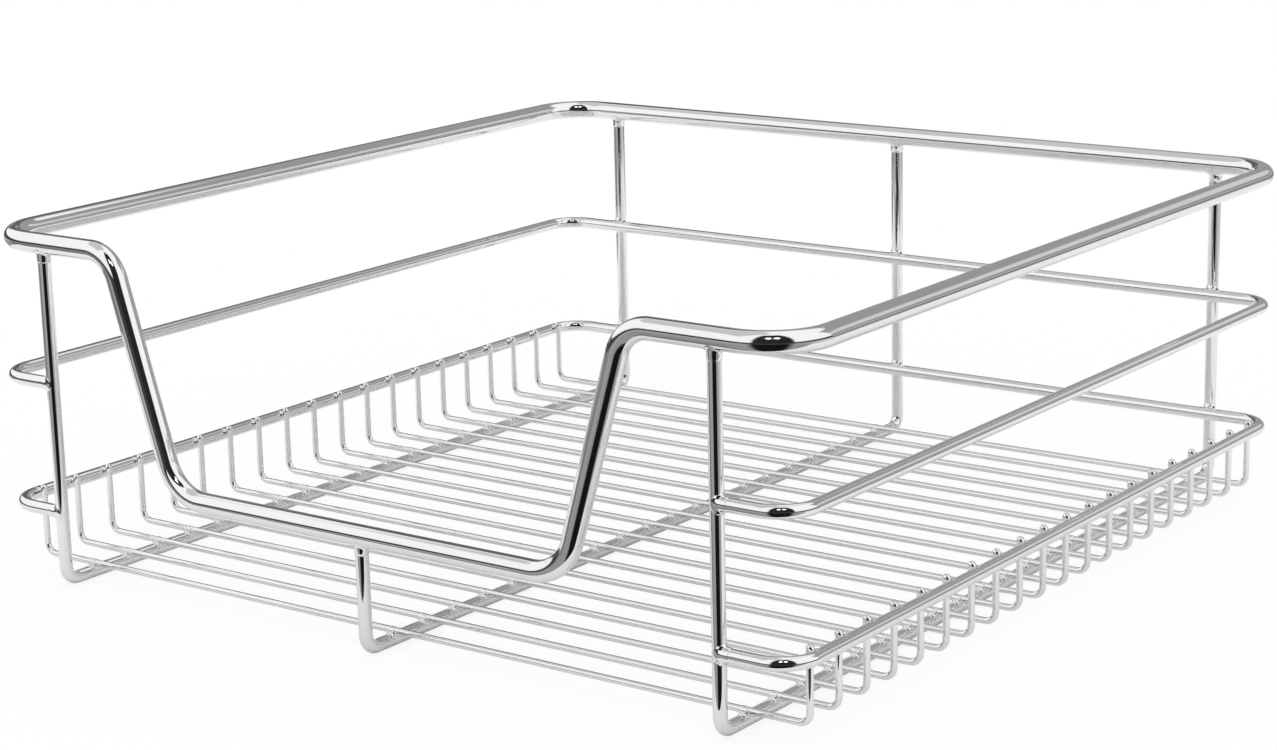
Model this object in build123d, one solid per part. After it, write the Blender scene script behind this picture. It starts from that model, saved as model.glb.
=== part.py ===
"""Pull-out basket for a kitchen base cabinet: bent round rods, welded where they meet.

Millimetres. +Z is up and the front faces -Y. The origin is on the ground under the middle
of the basket, half way between its sides and half way between its front and its back.
"""
from build123d import *
import os

# Overall size, measured over the rods
BASKET_WIDTH = 450.0
BASKET_DEPTH = 450.0
BASKET_HEIGHT = 168.0

# Rod diameters
RIM_ROD = 9.5
RAIL_ROD = 6.0
BEARER_ROD = 6.0
WIRE_ROD = 3.0

# Heights of the rod centre lines above the ground
MID_RAIL_HEIGHT = 97.5
LOWER_RAIL_HEIGHT = 36.0
DIP_HEIGHT = 54.5

# The bearers: one under the middle, and one this far in from each side of the rim
SIDE_BEARER_INSET = 35.0

# The dip in the front of the rim, between the side bearers
DIP_MOUTH_INSET = 43.0
DIP_SLOPE_WIDTH = 33.0

# Bend radii, measured on the rod centre lines
RIM_CORNER_BEND = 26.0
RAIL_CORNER_BEND = 16.0
DIP_MOUTH_BEND = 16.5
DIP_FLOOR_BEND = 22.0
BEARER_BEND = 6.5
WIRE_BEND = 5.0

# The cross wires
WIRE_COUNT = 20
FIRST_WIRE_BEHIND_FRONT = 17.5
LAST_WIRE_BEFORE_BACK = 22.5
WIRE_TIP_BELOW_RAIL_TOP = 0.5
WIRE_TIP_ROUNDING = 0.6

# How far two rods sink into each other at a weld
WELD_SINK = 0.4

# Centre-line planes shared by the rods that meet there
SIDE_X = (BASKET_WIDTH - RIM_ROD) / 2
FRONT_Y = -(BASKET_DEPTH - RIM_ROD) / 2
BACK_Y = -FRONT_Y
RIM_HEIGHT = BASKET_HEIGHT - RIM_ROD / 2
SIDE_BEARER_X = SIDE_X - SIDE_BEARER_INSET
DIP_MOUTH_X = SIDE_BEARER_X - DIP_MOUTH_INSET
DIP_FLOOR_X = DIP_MOUTH_X - DIP_SLOPE_WIDTH

# Seats: where one rod lies against another
BEARER_RUN_HEIGHT = BEARER_ROD / 2
RAIL_BACK_Y = BACK_Y - (BEARER_ROD + RAIL_ROD) / 2 + WELD_SINK
RAIL_END_X = SIDE_BEARER_X + BEARER_ROD / 2 - WELD_SINK
WIRE_RUN_HEIGHT = BEARER_ROD + WIRE_ROD / 2 - WELD_SINK
WIRE_LEG_X = SIDE_X - (RAIL_ROD + WIRE_ROD) / 2 + WELD_SINK
WIRE_TIP_HEIGHT = LOWER_RAIL_HEIGHT + RAIL_ROD / 2 - WIRE_TIP_BELOW_RAIL_TOP


def rod(corners, bends, diameter, closed=False):
    """A round rod along straight runs, with one bend radius for each corner it turns."""
    path = FilletPolyline(*corners, radius=bends, close=closed)
    section = Plane(origin=path @ 0, z_dir=path % 0) * Circle(diameter / 2)
    return sweep(section, path=path)


def make_rim():
    """One closed loop that dips in the middle of its front, so a hand can reach in."""
    corners = [
        (-SIDE_X, BACK_Y, RIM_HEIGHT),
        (-SIDE_X, FRONT_Y, RIM_HEIGHT),
        (-DIP_MOUTH_X, FRONT_Y, RIM_HEIGHT),
        (-DIP_FLOOR_X, FRONT_Y, DIP_HEIGHT),
        (DIP_FLOOR_X, FRONT_Y, DIP_HEIGHT),
        (DIP_MOUTH_X, FRONT_Y, RIM_HEIGHT),
        (SIDE_X, FRONT_Y, RIM_HEIGHT),
        (SIDE_X, BACK_Y, RIM_HEIGHT),
    ]
    bends = [
        RIM_CORNER_BEND,
        RIM_CORNER_BEND,
        DIP_MOUTH_BEND,
        DIP_FLOOR_BEND,
        DIP_FLOOR_BEND,
        DIP_MOUTH_BEND,
        RIM_CORNER_BEND,
        RIM_CORNER_BEND,
    ]
    return rod(corners, bends, RIM_ROD, closed=True)


def make_bearer(x, front_top, rim):
    """A U seen from the side: front post, run along the ground, rear post.

    The posts run up into the rim's centre line and are coped to its underside.
    """
    corners = [
        (x, FRONT_Y, front_top),
        (x, FRONT_Y, BEARER_RUN_HEIGHT),
        (x, BACK_Y, BEARER_RUN_HEIGHT),
        (x, BACK_Y, RIM_HEIGHT),
    ]
    return rod(corners, [BEARER_BEND] * 2, BEARER_ROD) - rim


def make_rail(height, bearers):
    """A rail round both sides and the back.

    Its square ends butt on the outer sides of the front posts, and its back stretch
    lies against the inner side of the rear posts.
    """
    corners = [
        (-RAIL_END_X, FRONT_Y, height),
        (-SIDE_X, FRONT_Y, height),
        (-SIDE_X, RAIL_BACK_Y, height),
        (SIDE_X, RAIL_BACK_Y, height),
        (SIDE_X, FRONT_Y, height),
        (RAIL_END_X, FRONT_Y, height),
    ]
    rail = rod(corners, [RAIL_CORNER_BEND] * 4, RAIL_ROD)
    for bearer in bearers:
        rail = rail - bearer
    return rail


def make_cross_wire(y, lower_rail, bearers):
    """A U seen from the front: it crosses over the bearers, and both its legs rise
    inside the lower rail. It is notched where it sinks into them."""
    corners = [
        (-WIRE_LEG_X, y, WIRE_TIP_HEIGHT),
        (-WIRE_LEG_X, y, WIRE_RUN_HEIGHT),
        (WIRE_LEG_X, y, WIRE_RUN_HEIGHT),
        (WIRE_LEG_X, y, WIRE_TIP_HEIGHT),
    ]
    wire = rod(corners, [WIRE_BEND] * 2, WIRE_ROD)
    wire = fillet(wire.edges().group_by(Axis.Z)[-1], WIRE_TIP_ROUNDING)
    for carrier in [lower_rail, *bearers]:
        wire = wire - carrier
    return wire


def cross_wire_places():
    """The wires are evenly spaced from the front to the back."""
    first = FRONT_Y + FIRST_WIRE_BEHIND_FRONT
    last = BACK_Y - LAST_WIRE_BEFORE_BACK
    pitch = (last - first) / (WIRE_COUNT - 1)
    return [first + pitch * number for number in range(WIRE_COUNT)]


def make_basket():
    """Every rod of the basket, by name."""
    rim = make_rim()
    bearers = {
        "bearer_left": make_bearer(-SIDE_BEARER_X, RIM_HEIGHT, rim),
        "bearer_centre": make_bearer(0, DIP_HEIGHT, rim),
        "bearer_right": make_bearer(SIDE_BEARER_X, RIM_HEIGHT, rim),
    }
    carriers = list(bearers.values())
    lower_rail = make_rail(LOWER_RAIL_HEIGHT, carriers)
    rods = {
        "rim": rim,
        "mid_rail": make_rail(MID_RAIL_HEIGHT, carriers),
        "lower_rail": lower_rail,
        **bearers,
    }
    for number, y in enumerate(cross_wire_places(), start=1):
        rods[f"cross_wire_{number:02d}"] = make_cross_wire(y, lower_rail, carriers)
    return rods


os.makedirs("parts", exist_ok=True)
for name, solid in make_basket().items():
    export_step(solid, f"parts/{name}.step")
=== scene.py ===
"""The finish of a chrome-plated pull out cabinet basket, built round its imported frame.

Blender metres. +Z is up, the dipped front faces -Y, and the origin is on the ground under
the middle of the basket. Every rod takes its place from the frame's own nodes.
"""
from collections import namedtuple
import bmesh
import bpy
import math
import numpy as np
from mathutils import Matrix, Vector


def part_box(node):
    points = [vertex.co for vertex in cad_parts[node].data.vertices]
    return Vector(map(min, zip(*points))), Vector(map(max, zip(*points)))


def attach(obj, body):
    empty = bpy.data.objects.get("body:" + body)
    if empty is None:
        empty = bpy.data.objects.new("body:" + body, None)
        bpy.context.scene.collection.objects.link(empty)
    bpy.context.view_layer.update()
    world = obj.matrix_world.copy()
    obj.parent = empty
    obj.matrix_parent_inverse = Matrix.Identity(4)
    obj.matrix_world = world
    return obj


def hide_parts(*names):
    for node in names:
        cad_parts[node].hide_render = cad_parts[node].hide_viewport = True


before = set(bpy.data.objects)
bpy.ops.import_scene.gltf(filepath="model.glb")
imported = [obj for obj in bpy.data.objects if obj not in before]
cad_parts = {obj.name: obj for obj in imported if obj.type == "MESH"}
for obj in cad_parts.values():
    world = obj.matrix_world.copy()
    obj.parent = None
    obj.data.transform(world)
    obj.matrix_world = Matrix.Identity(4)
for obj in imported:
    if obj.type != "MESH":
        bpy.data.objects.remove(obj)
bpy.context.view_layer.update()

MM = 0.001
X, Y, Z = 0, 1, 2

# Bend radii of the rods, on their centre lines
RIM_CORNER_BEND = 26 * MM
RAIL_CORNER_BEND = 16 * MM
DIP_MOUTH_BEND = 16.5 * MM
DIP_FLOOR_BEND = 22 * MM
BEARER_BEND = 6.5 * MM
WIRE_BEND = 5 * MM

# The rounded edge at both ends of a cross wire
WIRE_TIP_ROUNDING = 0.6 * MM

# The dip in the front of the rim, between the side bearers
DIP_MOUTH_INSET = 43 * MM
DIP_SLOPE_WIDTH = 33 * MM

# How finely the rods are meshed. A long straight stretch has a ring close to each end.
DEGREES_PER_BEND_RING = 4.0
RIM_SIDES = 64
RAIL_SIDES = 48
BEARER_SIDES = 48
WIRE_SIDES = 32
TIP_RINGS = 6
END_RING_DISTANCE = 2.5 * MM
LONG_STRETCH = 3 * END_RING_DISTANCE

# Welds: how far the molten metal reaches along the rods, and how softly it fills the corner
WELD_REACH = 5.0 * MM
WELD_FILL = 1.1 * MM
WIRE_WELD_REACH = 3.4 * MM
WIRE_WELD_FILL = 0.7 * MM

# A bead's surface: how much it swells at its middle, the share of its reach over which the
# swell dies away, and how much lower all of it lies
WELD_SWELL = 0.8 * MM
WELD_SWELL_SHARE = 0.7
WELD_UNDERCUT = 0.012 * MM

# How far most of the rods that run on past a bead are followed
WELD_SPAN = 2 * WELD_REACH
WIRE_WELD_SPAN = 2 * WIRE_WELD_REACH

# How far two kinds of bead have their middle from a centre line, as a share of that rod's
# radius: outwards from a front post, and upwards from the lower rail
STUB_WELD_OUT = 0.9
LEG_WELD_UP = 0.6

# How finely a bead is meshed, and how often the search for its surface halves its step
WELD_SUBDIVISIONS = 4
WELD_SEARCH_STEPS = 40

# The photograph's camera, in the frame. Its azimuth runs from -Y towards +X.
PHOTO_WIDTH = 1277
CAMERA_FOCAL_PIXELS = 2949.2
CAMERA_AZIMUTH = math.radians(36.377)
CAMERA_ELEVATION = math.radians(13.826)
CAMERA_ROLL = math.radians(-1.343)
CAMERA_DISTANCE = 1361.1 * MM
CAMERA_TARGET = Vector((28.88, -57.10, 94.08)) * MM
CAMERA_CLIP_START = 10 * MM
SENSOR_WIDTH_MM = 36.0


# ---------------------------------------------------------------- places from the frame
def centre(node):
    """The middle of a node's box."""
    low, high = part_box(node)
    return (low + high) / 2


def node_radius(node, axis):
    """A rod's radius is half its node's extent along an axis that its bends never use."""
    low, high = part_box(node)
    return (high[axis] - low[axis]) / 2


wire_names = sorted(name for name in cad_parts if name.startswith("cross_wire"))
rail_radius = node_radius("mid_rail", Z)
bearer_radius = node_radius("bearer_centre", X)
wire_radius = node_radius(wire_names[0], Y)

# The rim and the rails share the planes of their sides, so they differ there by their radii
rim_low, rim_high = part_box("rim")
rail_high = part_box("lower_rail")[1]
rim_radius = rail_radius + (rim_high.x - rail_high.x)
side_x = rim_high.x - rim_radius
front_y = rim_low.y + rim_radius
back_y = rim_high.y - rim_radius
rim_z = rim_high.z - rim_radius
dip_z = rim_low.z + rim_radius
rail_back_y = rail_high.y - rail_radius
side_bearer_x = centre("bearer_right").x
bearer_run_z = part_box("bearer_centre")[0].z + bearer_radius
dip_mouth_x = side_bearer_x - DIP_MOUTH_INSET
dip_floor_x = dip_mouth_x - DIP_SLOPE_WIDTH


# ---------------------------------------------------------------- rods as smooth meshes
def bend_route(corners, bends, closed=False):
    """The centre line through corners, each turned with its own bend radius."""
    points = []
    count = len(corners)
    for index, corner in enumerate(corners):
        if not closed and index in (0, count - 1):
            points.append(corner.copy())
            continue
        to_last = (corners[index - 1] - corner).normalized()
        to_next = (corners[(index + 1) % count] - corner).normalized()
        radius = bends[index] if closed else bends[index - 1]
        turn = math.pi - to_last.angle(to_next)
        tangent = radius * math.tan(turn / 2)
        start = corner + to_last * tangent
        middle = corner + (to_last + to_next).normalized() * (radius / math.cos(turn / 2))
        axis = to_next.cross(to_last).normalized()
        rings = max(2, math.ceil(math.degrees(turn) / DEGREES_PER_BEND_RING))
        for ring in range(rings + 1):
            swing = Matrix.Rotation(turn * ring / rings, 3, axis)
            points.append(middle + swing @ (start - middle))
    return with_end_rings(points, closed)


def with_end_rings(points, closed):
    """A ring close to each end of every long straight stretch keeps its shading straight."""
    count = len(points)
    route = []
    for index, point in enumerate(points):
        route.append(point)
        if index == count - 1 and not closed:
            break
        following = points[(index + 1) % count]
        if (following - point).length > LONG_STRETCH:
            along = (following - point).normalized() * END_RING_DISTANCE
            route += [point + along, following - along]
    return route


def rod_rings(route, closed):
    """A frame of two unit vectors across the rod at each point of its route, without twist."""
    count = len(route)
    tangents = []
    for index, point in enumerate(route):
        last = route[index - 1] if closed or index > 0 else point
        following = route[(index + 1) % count] if closed or index < count - 1 else point
        leaving = following - point
        arriving = point - last
        tangents.append((leaving.normalized() + arriving.normalized()).normalized())
    across = tangents[0].orthogonal().normalized()
    frames = []
    for tangent in tangents:
        across = (across - tangent * across.dot(tangent)).normalized()
        frames.append((across.copy(), tangent.cross(across)))
    return frames


def rod_mesh(route, radius, sides, closed=False, rounded_ends=0.0):
    """Vertices and faces of a round rod. Open ends are flat, and their edge may be rounded."""
    frames = rod_rings(route, closed)
    stations = [(point, pair, radius) for point, pair in zip(route, frames)]
    if not closed and rounded_ends > 0:
        stations = rounded_end(stations, rounded_ends, at_start=True)
        stations = rounded_end(stations, rounded_ends, at_start=False)
    vertices = []
    for point, (across, up), ring_radius in stations:
        for side in range(sides):
            angle = 2 * math.pi * side / sides
            outward = across * math.cos(angle) + up * math.sin(angle)
            vertices.append(point + outward * ring_radius)
    faces = []
    rings = len(stations)
    for ring in range(rings if closed else rings - 1):
        following = (ring + 1) % rings
        for side in range(sides):
            other = (side + 1) % sides
            faces.append((ring * sides + side, ring * sides + other,
                          following * sides + other, following * sides + side))
    if not closed:
        faces.append(tuple(range(sides - 1, -1, -1)))
        faces.append(tuple((rings - 1) * sides + side for side in range(sides)))
    return vertices, faces


def rounded_end(stations, rounding, at_start):
    """Replaces the end station by a quarter-round edge of the given radius."""
    ordered = stations if at_start else stations[::-1]
    point, pair, radius = ordered[0]
    inward = (ordered[1][0] - point).normalized()
    edge = []
    for ring in range(TIP_RINGS + 1):
        angle = math.pi / 2 * ring / TIP_RINGS
        depth = rounding * (1 - math.cos(angle))
        shrink = rounding * (1 - math.sin(angle))
        edge.append((point + inward * depth, pair, radius - shrink))
    ordered = edge + ordered[1:]
    return ordered if at_start else ordered[::-1]


def sphere_mesh(name, subdivisions, radius):
    """A sphere round the origin, with its vertices spread evenly."""
    mesh = bpy.data.meshes.new(name)
    work = bmesh.new()
    bmesh.ops.create_icosphere(work, subdivisions=subdivisions, radius=radius)
    work.to_mesh(mesh)
    work.free()
    return mesh


# ---------------------------------------------------------------- welds
def segment_distance(points, start, end, radius):
    """Signed distance of each point to a round rod between two points."""
    along = end - start
    share = np.clip((points - start) @ along / (along @ along), 0, 1)
    nearest = start + share[:, None] * along
    return np.linalg.norm(points - nearest, axis=1) - radius


def welded_distance(points, rods, fill):
    """Signed distance to two rods whose shared corner is filled with a smooth fillet."""
    first, second = [segment_distance(points, *rod) for rod in rods]
    blend = np.clip(fill - np.abs(first - second), 0, None) / fill
    return np.minimum(first, second) - blend**3 * fill / 6


def weld_directions():
    """Even directions from the middle of a weld, and the faces that join them."""
    mesh = sphere_mesh("directions", WELD_SUBDIVISIONS, radius=1)
    vertices = np.array([vertex.co for vertex in mesh.vertices])
    faces = [tuple(polygon.vertices) for polygon in mesh.polygons]
    bpy.data.meshes.remove(mesh)
    return vertices / np.linalg.norm(vertices, axis=1)[:, None], faces


DIRECTIONS, DIRECTION_FACES = weld_directions()


def weld_mesh(middle, rods, reach, fill):
    """The bead round the place where two rods meet.

    Its surface is searched from its middle outwards, in every direction at once.
    """
    rods = [(np.array(start), np.array(end), radius) for start, end, radius in rods]
    middle = np.array(middle)
    low = np.zeros(len(DIRECTIONS))
    high = np.full(len(DIRECTIONS), reach)
    for _ in range(WELD_SEARCH_STEPS):
        half = (low + high) / 2
        distance = welded_distance(middle + DIRECTIONS * half[:, None], rods, fill)
        swell = WELD_SWELL * np.exp(-(half / (WELD_SWELL_SHARE * reach)) ** 2)
        inside = distance < swell - WELD_UNDERCUT
        low = np.where(inside, half, low)
        high = np.where(inside, high, half)
    vertices = [Vector(place) for place in middle + DIRECTIONS * low[:, None]]
    return vertices, DIRECTION_FACES


def passing_rod(place, axis, span, radius):
    """A stretch of a straight rod that runs past a place along one axis."""
    start, end = list(place), list(place)
    start[axis] -= span
    end[axis] += span
    return start, end, radius


def stub_weld(x, height):
    """Where a rail's square end butts on the outer side of a front post."""
    outward = math.copysign(1, x)
    post = passing_rod((x, front_y, height), Z, WELD_REACH, bearer_radius)
    stub = ((x, front_y, height), (x + outward * WELD_REACH, front_y, height), rail_radius)
    middle = (x + outward * bearer_radius * STUB_WELD_OUT, front_y, height)
    return weld_mesh(middle, [post, stub], WELD_REACH, WELD_FILL)


def rear_post_weld(x, height):
    """Where a rail passes in front of a rear post."""
    post = passing_rod((x, back_y, height), Z, WELD_SPAN, bearer_radius)
    rail = passing_rod((x, rail_back_y, height), X, WELD_SPAN, rail_radius)
    middle = (x, (back_y + rail_back_y) / 2, height)
    return weld_mesh(middle, [post, rail], WELD_REACH, WELD_FILL)


def post_top_weld(x, y, rim_height):
    """Where a post butts under the rim."""
    post = ((x, y, rim_height - WELD_SPAN), (x, y, rim_height), bearer_radius)
    rim = passing_rod((x, y, rim_height), X, WELD_SPAN, rim_radius)
    middle = (x, y, rim_height - rim_radius)
    return weld_mesh(middle, [post, rim], WELD_REACH, WELD_FILL)


def bearer_crossing_weld(x, y, run_z):
    """Where a cross wire lies over a bearer."""
    wire = passing_rod((x, y, run_z), X, WIRE_WELD_SPAN, wire_radius)
    bearer = passing_rod((x, y, bearer_run_z), Y, WIRE_WELD_SPAN, bearer_radius)
    middle = (x, y, run_z - wire_radius)
    return weld_mesh(middle, [wire, bearer], WIRE_WELD_REACH, WIRE_WELD_FILL)


def rail_crossing_weld(sign, leg_x, y):
    """Where a cross wire's leg stands inside the lower rail."""
    rail_z = centre("lower_rail").z
    rail_x = leg_x + wire_radius + rail_radius
    leg_start = (sign * leg_x, y, rail_z - WIRE_WELD_SPAN)
    leg_end = (sign * leg_x, y, rail_z + rail_radius)
    leg = (leg_start, leg_end, wire_radius)
    rail = passing_rod((sign * rail_x, y, rail_z), Y, WIRE_WELD_SPAN, rail_radius)
    middle = (sign * (leg_x + wire_radius), y, rail_z + LEG_WELD_UP * rail_radius)
    return weld_mesh(middle, [leg, rail], WIRE_WELD_REACH, WIRE_WELD_FILL)


# ---------------------------------------------------------------- materials
WHITE = (1, 1, 1, 1)


def new_material(name):
    """An empty material, its nodes and its links."""
    material = bpy.data.materials.new(name)
    material.use_nodes = True
    tree = material.node_tree
    tree.nodes.clear()
    return material, tree.nodes, tree.links


def arithmetic(nodes, links, operation, *values):
    """One maths node. Each value is a number or another node's output."""
    node = nodes.new("ShaderNodeMath")
    node.operation = operation
    for socket, value in zip(node.inputs, values):
        if isinstance(value, (int, float)):
            socket.default_value = value
        else:
            links.new(value, socket)
    return node.outputs["Value"]


def soft_edge(nodes, links, value, start, end):
    """A smooth step from 0 at start to 1 at end."""
    node = nodes.new("ShaderNodeMapRange")
    node.interpolation_type = "SMOOTHSTEP"
    node.inputs["From Min"].default_value = start
    node.inputs["From Max"].default_value = end
    links.new(value, node.inputs["Value"])
    return node.outputs["Result"]


# ---------------------------------------------------------------- chrome
# Smears: their noise, and the stretch of its values over which the roughness rises
SMEAR_SCALE = 45
SMEAR_DETAIL = 5
SMEAR_LOW = 0.35
SMEAR_HIGH = 0.75
PLATING_ROUGHNESS_LOW = 0.045
PLATING_ROUGHNESS_HIGH = 0.11
PLATING_TONE_LOW = (0.86, 0.865, 0.87, 1)
PLATING_TONE_HIGH = (0.93, 0.93, 0.93, 1)

# The orange peel of polished rod
PEEL_SCALE = 260
PEEL_DETAIL = 3
PEEL_STRENGTH = 0.06
PEEL_DEPTH = 0.1 * MM


def noise_texture(nodes, links, place, scale, detail):
    """Noise that goes with the place on the rod, as a number."""
    noise = nodes.new("ShaderNodeTexNoise")
    noise.inputs["Scale"].default_value = scale
    noise.inputs["Detail"].default_value = detail
    links.new(place.outputs["Object"], noise.inputs["Vector"])
    return noise.outputs["Fac"]


def chrome_material():
    """Bright plating: a mirror with faint smears, and the orange peel of polished rod."""
    material, nodes, links = new_material("chrome_plating")
    output = nodes.new("ShaderNodeOutputMaterial")
    shader = nodes.new("ShaderNodeBsdfPrincipled")
    shader.inputs["Metallic"].default_value = 1.0
    links.new(shader.outputs["BSDF"], output.inputs["Surface"])
    place = nodes.new("ShaderNodeTexCoord")

    smears = noise_texture(nodes, links, place, SMEAR_SCALE, SMEAR_DETAIL)
    gloss = nodes.new("ShaderNodeMapRange")
    gloss.inputs["From Min"].default_value = SMEAR_LOW
    gloss.inputs["From Max"].default_value = SMEAR_HIGH
    gloss.inputs["To Min"].default_value = PLATING_ROUGHNESS_LOW
    gloss.inputs["To Max"].default_value = PLATING_ROUGHNESS_HIGH
    links.new(smears, gloss.inputs["Value"])
    links.new(gloss.outputs["Result"], shader.inputs["Roughness"])

    tone = nodes.new("ShaderNodeValToRGB")
    tone.color_ramp.elements[0].color = PLATING_TONE_LOW
    tone.color_ramp.elements[1].color = PLATING_TONE_HIGH
    links.new(smears, tone.inputs["Fac"])
    links.new(tone.outputs["Color"], shader.inputs["Base Color"])

    peel = noise_texture(nodes, links, place, PEEL_SCALE, PEEL_DETAIL)
    bump = nodes.new("ShaderNodeBump")
    bump.inputs["Strength"].default_value = PEEL_STRENGTH
    bump.inputs["Distance"].default_value = PEEL_DEPTH
    links.new(peel, bump.inputs["Height"])
    links.new(bump.outputs["Normal"], shader.inputs["Normal"])
    return material


CHROME = chrome_material()


# ---------------------------------------------------------------- pieces
def add_object(name, data):
    """A new object in the scene."""
    thing = bpy.data.objects.new(name, data)
    bpy.context.scene.collection.objects.link(thing)
    return thing


def add_piece(node, parts):
    """One object from a rod and its welds. It stands for the rod's node of the frame."""
    vertices, faces = [], []
    for part_vertices, part_faces in parts:
        offset = len(vertices)
        vertices.extend(part_vertices)
        faces.extend(tuple(offset + index for index in face) for face in part_faces)
    mesh = bpy.data.meshes.new(node + "_rod")
    mesh.from_pydata(vertices, [], faces)
    mesh.materials.append(CHROME)
    mesh.shade_smooth()
    piece = add_object(node + "_rod", mesh)
    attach(piece, "root")
    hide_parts(node)


def make_rim():
    """The closed loop with its dip in front."""
    corners = [Vector(place) for place in (
        (-side_x, back_y, rim_z),
        (-side_x, front_y, rim_z),
        (-dip_mouth_x, front_y, rim_z),
        (-dip_floor_x, front_y, dip_z),
        (dip_floor_x, front_y, dip_z),
        (dip_mouth_x, front_y, rim_z),
        (side_x, front_y, rim_z),
        (side_x, back_y, rim_z),
    )]
    left_half = [RIM_CORNER_BEND, RIM_CORNER_BEND, DIP_MOUTH_BEND, DIP_FLOOR_BEND]
    route = bend_route(corners, left_half + left_half[::-1], closed=True)
    add_piece("rim", [rod_mesh(route, rim_radius, RIM_SIDES, closed=True)])


def make_rail(node):
    """A rail round both sides and the back, welded to five posts."""
    height = centre(node).z
    corners = [Vector(place) for place in (
        (-side_bearer_x, front_y, height),
        (-side_x, front_y, height),
        (-side_x, rail_back_y, height),
        (side_x, rail_back_y, height),
        (side_x, front_y, height),
        (side_bearer_x, front_y, height),
    )]
    route = bend_route(corners, [RAIL_CORNER_BEND] * 4)
    parts = [rod_mesh(route, rail_radius, RAIL_SIDES)]
    for x in (-side_bearer_x, side_bearer_x):
        parts.append(stub_weld(x, height))
    for x in (-side_bearer_x, 0, side_bearer_x):
        parts.append(rear_post_weld(x, height))
    add_piece(node, parts)


def make_bearer(node):
    """A U seen from the side, welded under the rim at both ends."""
    x = centre(node).x
    front_top = dip_z if abs(x) < dip_floor_x else rim_z
    corners = [Vector(place) for place in (
        (x, front_y, front_top),
        (x, front_y, bearer_run_z),
        (x, back_y, bearer_run_z),
        (x, back_y, rim_z),
    )]
    route = bend_route(corners, [BEARER_BEND] * 2)
    parts = [rod_mesh(route, bearer_radius, BEARER_SIDES)]
    parts.append(post_top_weld(x, front_y, front_top))
    parts.append(post_top_weld(x, back_y, rim_z))
    add_piece(node, parts)


def make_cross_wire(node):
    """A U seen from the front, welded to the bearers and inside the lower rail."""
    low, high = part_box(node)
    y = (low.y + high.y) / 2
    leg_x = high.x - wire_radius
    run_z = low.z + wire_radius
    tip_z = high.z
    corners = [Vector(place) for place in (
        (-leg_x, y, tip_z),
        (-leg_x, y, run_z),
        (leg_x, y, run_z),
        (leg_x, y, tip_z),
    )]
    route = bend_route(corners, [WIRE_BEND] * 2)
    parts = [rod_mesh(route, wire_radius, WIRE_SIDES, rounded_ends=WIRE_TIP_ROUNDING)]
    for x in (-side_bearer_x, 0, side_bearer_x):
        parts.append(bearer_crossing_weld(x, y, run_z))
    for sign in (-1, 1):
        parts.append(rail_crossing_weld(sign, leg_x, y))
    add_piece(node, parts)


make_rim()
for node in ("mid_rail", "lower_rail"):
    make_rail(node)
for node in ("bearer_left", "bearer_centre", "bearer_right"):
    make_bearer(node)
for node in wire_names:
    make_cross_wire(node)


# ---------------------------------------------------------------- camera
def make_camera():
    """The photograph's camera."""
    forward = Vector((
        -math.sin(CAMERA_AZIMUTH) * math.cos(CAMERA_ELEVATION),
        math.cos(CAMERA_AZIMUTH) * math.cos(CAMERA_ELEVATION),
        -math.sin(CAMERA_ELEVATION),
    ))
    right = Vector((math.cos(CAMERA_AZIMUTH), math.sin(CAMERA_AZIMUTH), 0))
    up = right.cross(forward)
    image_right = right * math.cos(CAMERA_ROLL) + up * math.sin(CAMERA_ROLL)
    image_up = up * math.cos(CAMERA_ROLL) - right * math.sin(CAMERA_ROLL)
    turn = Matrix((image_right, image_up, -forward)).transposed().to_4x4()
    data = bpy.data.cameras.new("camera")
    data.sensor_width = SENSOR_WIDTH_MM
    data.lens = SENSOR_WIDTH_MM * CAMERA_FOCAL_PIXELS / PHOTO_WIDTH
    data.clip_start = CAMERA_CLIP_START
    camera = add_object("camera", data)
    camera.matrix_world = Matrix.Translation(CAMERA_TARGET - forward * CAMERA_DISTANCE) @ turn
    bpy.context.scene.camera = camera


# ---------------------------------------------------------------- studio
# The camera sees the basket on white paper. The plating shows a pale table in its place,
# whose front edge is close, and the room round it: each card is a soft-edged patch of grey
# on a large sphere, laid over those before it. Azimuths run from the camera's side towards
# the right of the picture, and elevations from the table top, in degrees.
Card = namedtuple("Card", "azimuths elevations softness grey")
SURROUND_CARDS = (
    Card((-180, 180), (-90, -3), 4, 0.62),   # the room's floor
    Card((-180, 62), (-90, -4), 36, 0.30),   # its darker front and left parts
    Card((-118, -78), (-90, -4), 18, 0.19),
    Card((-33, 26), (-90, 4), 14, 0.008),    # the dark floor below the camera
    Card((-180, 95), (-5, 7), 3, 0.05),      # the dark foot of the walls
    Card((95, 180), (-8, 1), 3, 0.20),       # the same, behind the basket
    Card((92, 180), (2, 48), 5, 0.33),       # the grey wall behind the basket
    Card((92, 140), (14, 28), 4, 0.66),      # a lighter band across it
    Card((-180, -152), (8, 46), 8, 0.12),    # the wall's dark left end
    Card((-180, -60), (50, 90), 6, 0.60),    # the ceiling over the white left wall
    Card((-30, 30), (4, 78), 6, 0.02),       # the dark wall behind the camera
    Card((-11, -3), (44, 54), 2, 4.0),       # two lamps on it
    Card((4, 12), (44, 54), 2, 4.0),
)
SURROUND_RADIUS = 6.0
SURROUND_SUBDIVISIONS = 5
SURROUND_WHITE = 1.0
HALF_TURN = 180

# Corners of the table, from its front left, and its grey, with painted shade that makes it
# darker under the basket
TABLE_CORNERS = ((-0.55, -0.44), (0.55, -0.17), (0.60, 0.75), (-0.55, 0.75))
TABLE_LIFT = 0.2 * MM
TABLE_GREY = 0.90
TABLE_SHADE = 0.62
TABLE_SHADE_REACH = 0.42

# The white paper, and how much of what the camera sees of it is an even glow
FLOOR_REACH = 12.0
FLOOR_GLOW = 0.85
WORLD_STRENGTH = 1.0


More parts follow.
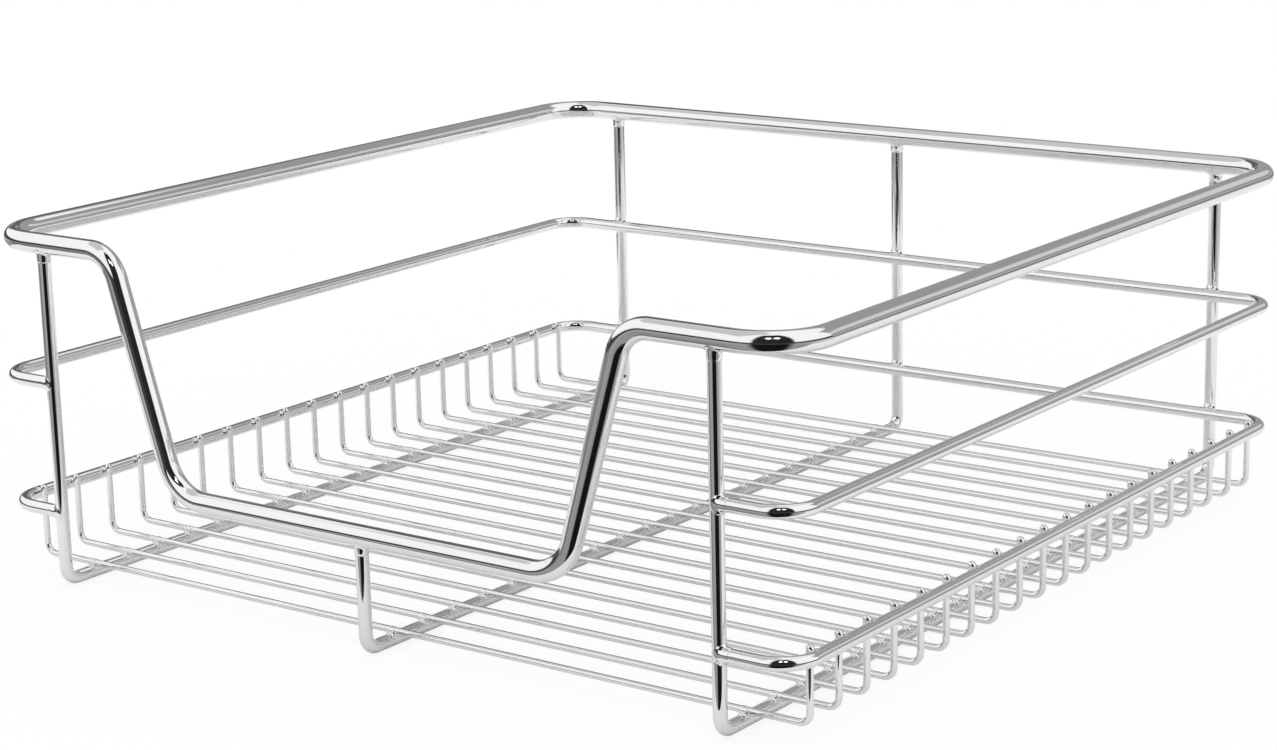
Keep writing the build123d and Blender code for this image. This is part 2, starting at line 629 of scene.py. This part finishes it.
def stage_sheet(name, corners, height, material):
    """A flat sheet of the studio."""
    vertices = [Vector((x, y, height)) for x, y in corners]
    mesh = bpy.data.meshes.new(name)
    mesh.from_pydata(vertices, [], [tuple(range(len(corners)))])
    mesh.materials.append(material)
    sheet = add_object(name, mesh)
    return sheet


def floor_material():
    """White paper. Part of what the camera sees of it is an even white glow, so it is as
    pale as the photograph's ground and still keeps the basket's shadow."""
    material, nodes, links = new_material("studio_floor")
    output = nodes.new("ShaderNodeOutputMaterial")
    paper = nodes.new("ShaderNodeBsdfDiffuse")
    paper.inputs["Color"].default_value = WHITE
    glow = nodes.new("ShaderNodeEmission")
    seen = nodes.new("ShaderNodeLightPath")
    mix = nodes.new("ShaderNodeMixShader")
    share = seen.outputs["Is Camera Ray"]
    for ray in ("Is Glossy Ray", "Is Transmission Ray"):
        share = arithmetic(nodes, links, "ADD", share, seen.outputs[ray])
    share = arithmetic(nodes, links, "MULTIPLY", share, FLOOR_GLOW)
    links.new(share, mix.inputs["Fac"])
    links.new(paper.outputs["BSDF"], mix.inputs[1])
    links.new(glow.outputs["Emission"], mix.inputs[2])
    links.new(mix.outputs["Shader"], output.inputs["Surface"])
    return material


def table_material():
    """Pale grey, with painted shade that makes it darker round the middle of the basket."""
    material, nodes, links = new_material("studio_table")
    output = nodes.new("ShaderNodeOutputMaterial")
    paper = nodes.new("ShaderNodeBsdfDiffuse")
    place = nodes.new("ShaderNodeTexCoord")
    away = nodes.new("ShaderNodeVectorMath")
    away.operation = "LENGTH"
    links.new(place.outputs["Object"], away.inputs[0])
    # Painted shade under the basket: the grey is darkest at its middle and fades to the table's
    # own grey further out
    open_air = soft_edge(nodes, links, away.outputs["Value"], 0, TABLE_SHADE_REACH)
    span = TABLE_GREY - TABLE_SHADE
    grey = arithmetic(nodes, links, "MULTIPLY_ADD", open_air, span, TABLE_SHADE)
    links.new(grey, paper.inputs["Color"])
    links.new(paper.outputs["BSDF"], output.inputs["Surface"])
    return material


def card_mask(nodes, links, card, azimuth, elevation):
    """1 on a card and 0 beside it. A card that reaches half a turn has no edge there."""
    mask = 1.0
    for value, (low, high) in ((azimuth, card.azimuths), (elevation, card.elevations)):
        half = card.softness / 2
        if low > -HALF_TURN:
            edge = soft_edge(nodes, links, value, low - half, low + half)
            mask = arithmetic(nodes, links, "MULTIPLY", mask, edge)
        if high < HALF_TURN:
            edge = soft_edge(nodes, links, value, high + half, high - half)
            mask = arithmetic(nodes, links, "MULTIPLY", mask, edge)
    return mask


def surround_material():
    """The cards, each laid over those before it."""
    material, nodes, links = new_material("studio_surround")
    output = nodes.new("ShaderNodeOutputMaterial")
    shader = nodes.new("ShaderNodeEmission")
    place = nodes.new("ShaderNodeTexCoord")
    parts = nodes.new("ShaderNodeSeparateXYZ")
    links.new(place.outputs["Object"], parts.inputs["Vector"])
    towards_camera = arithmetic(nodes, links, "MULTIPLY", parts.outputs["Y"], -1)
    azimuth = arithmetic(nodes, links, "ARCTAN2", parts.outputs["X"], towards_camera)
    azimuth = arithmetic(nodes, links, "DEGREES", azimuth)
    height = arithmetic(nodes, links, "DIVIDE", parts.outputs["Z"], SURROUND_RADIUS)
    elevation = arithmetic(nodes, links, "DEGREES", arithmetic(nodes, links, "ARCSINE", height))
    grey = SURROUND_WHITE
    for card in SURROUND_CARDS:
        mask = card_mask(nodes, links, card, azimuth, elevation)
        change = arithmetic(nodes, links, "SUBTRACT", card.grey, grey)
        grey = arithmetic(nodes, links, "MULTIPLY_ADD", mask, change, grey)
    links.new(grey, shader.inputs["Strength"])
    links.new(shader.outputs["Emission"], output.inputs["Surface"])
    return material


def show_to_plating_only(thing):
    """The camera doesn't see it, and it lights and shades nothing: only the plating shows it."""
    thing.visible_camera = False
    thing.visible_diffuse = False
    thing.visible_shadow = False
    thing.visible_transmission = False


def make_surround():
    """The sphere that carries the cards, turned so that its front faces the camera."""
    mesh = sphere_mesh("studio_surround", SURROUND_SUBDIVISIONS, SURROUND_RADIUS)
    mesh.materials.append(surround_material())
    surround = add_object("studio_surround", mesh)
    surround.rotation_euler.z = CAMERA_AZIMUTH
    show_to_plating_only(surround)


def make_studio():
    """White paper and even light for the camera, and the table and the room for the plating."""
    reach = FLOOR_REACH
    floor_corners = ((-reach, -reach), (reach, -reach), (reach, reach), (-reach, reach))
    floor = stage_sheet("studio_floor", floor_corners, 0, floor_material())
    floor.visible_glossy = False
    table = stage_sheet("studio_table", TABLE_CORNERS, TABLE_LIFT, table_material())
    show_to_plating_only(table)
    make_surround()

    world = bpy.data.worlds.new("studio_light")
    world.use_nodes = True
    background = world.node_tree.nodes["Background"]
    background.inputs["Color"].default_value = WHITE
    background.inputs["Strength"].default_value = WORLD_STRENGTH
    bpy.context.scene.world = world


make_camera()
make_studio()

scene = bpy.context.scene
scene.view_settings.view_transform = "Standard"
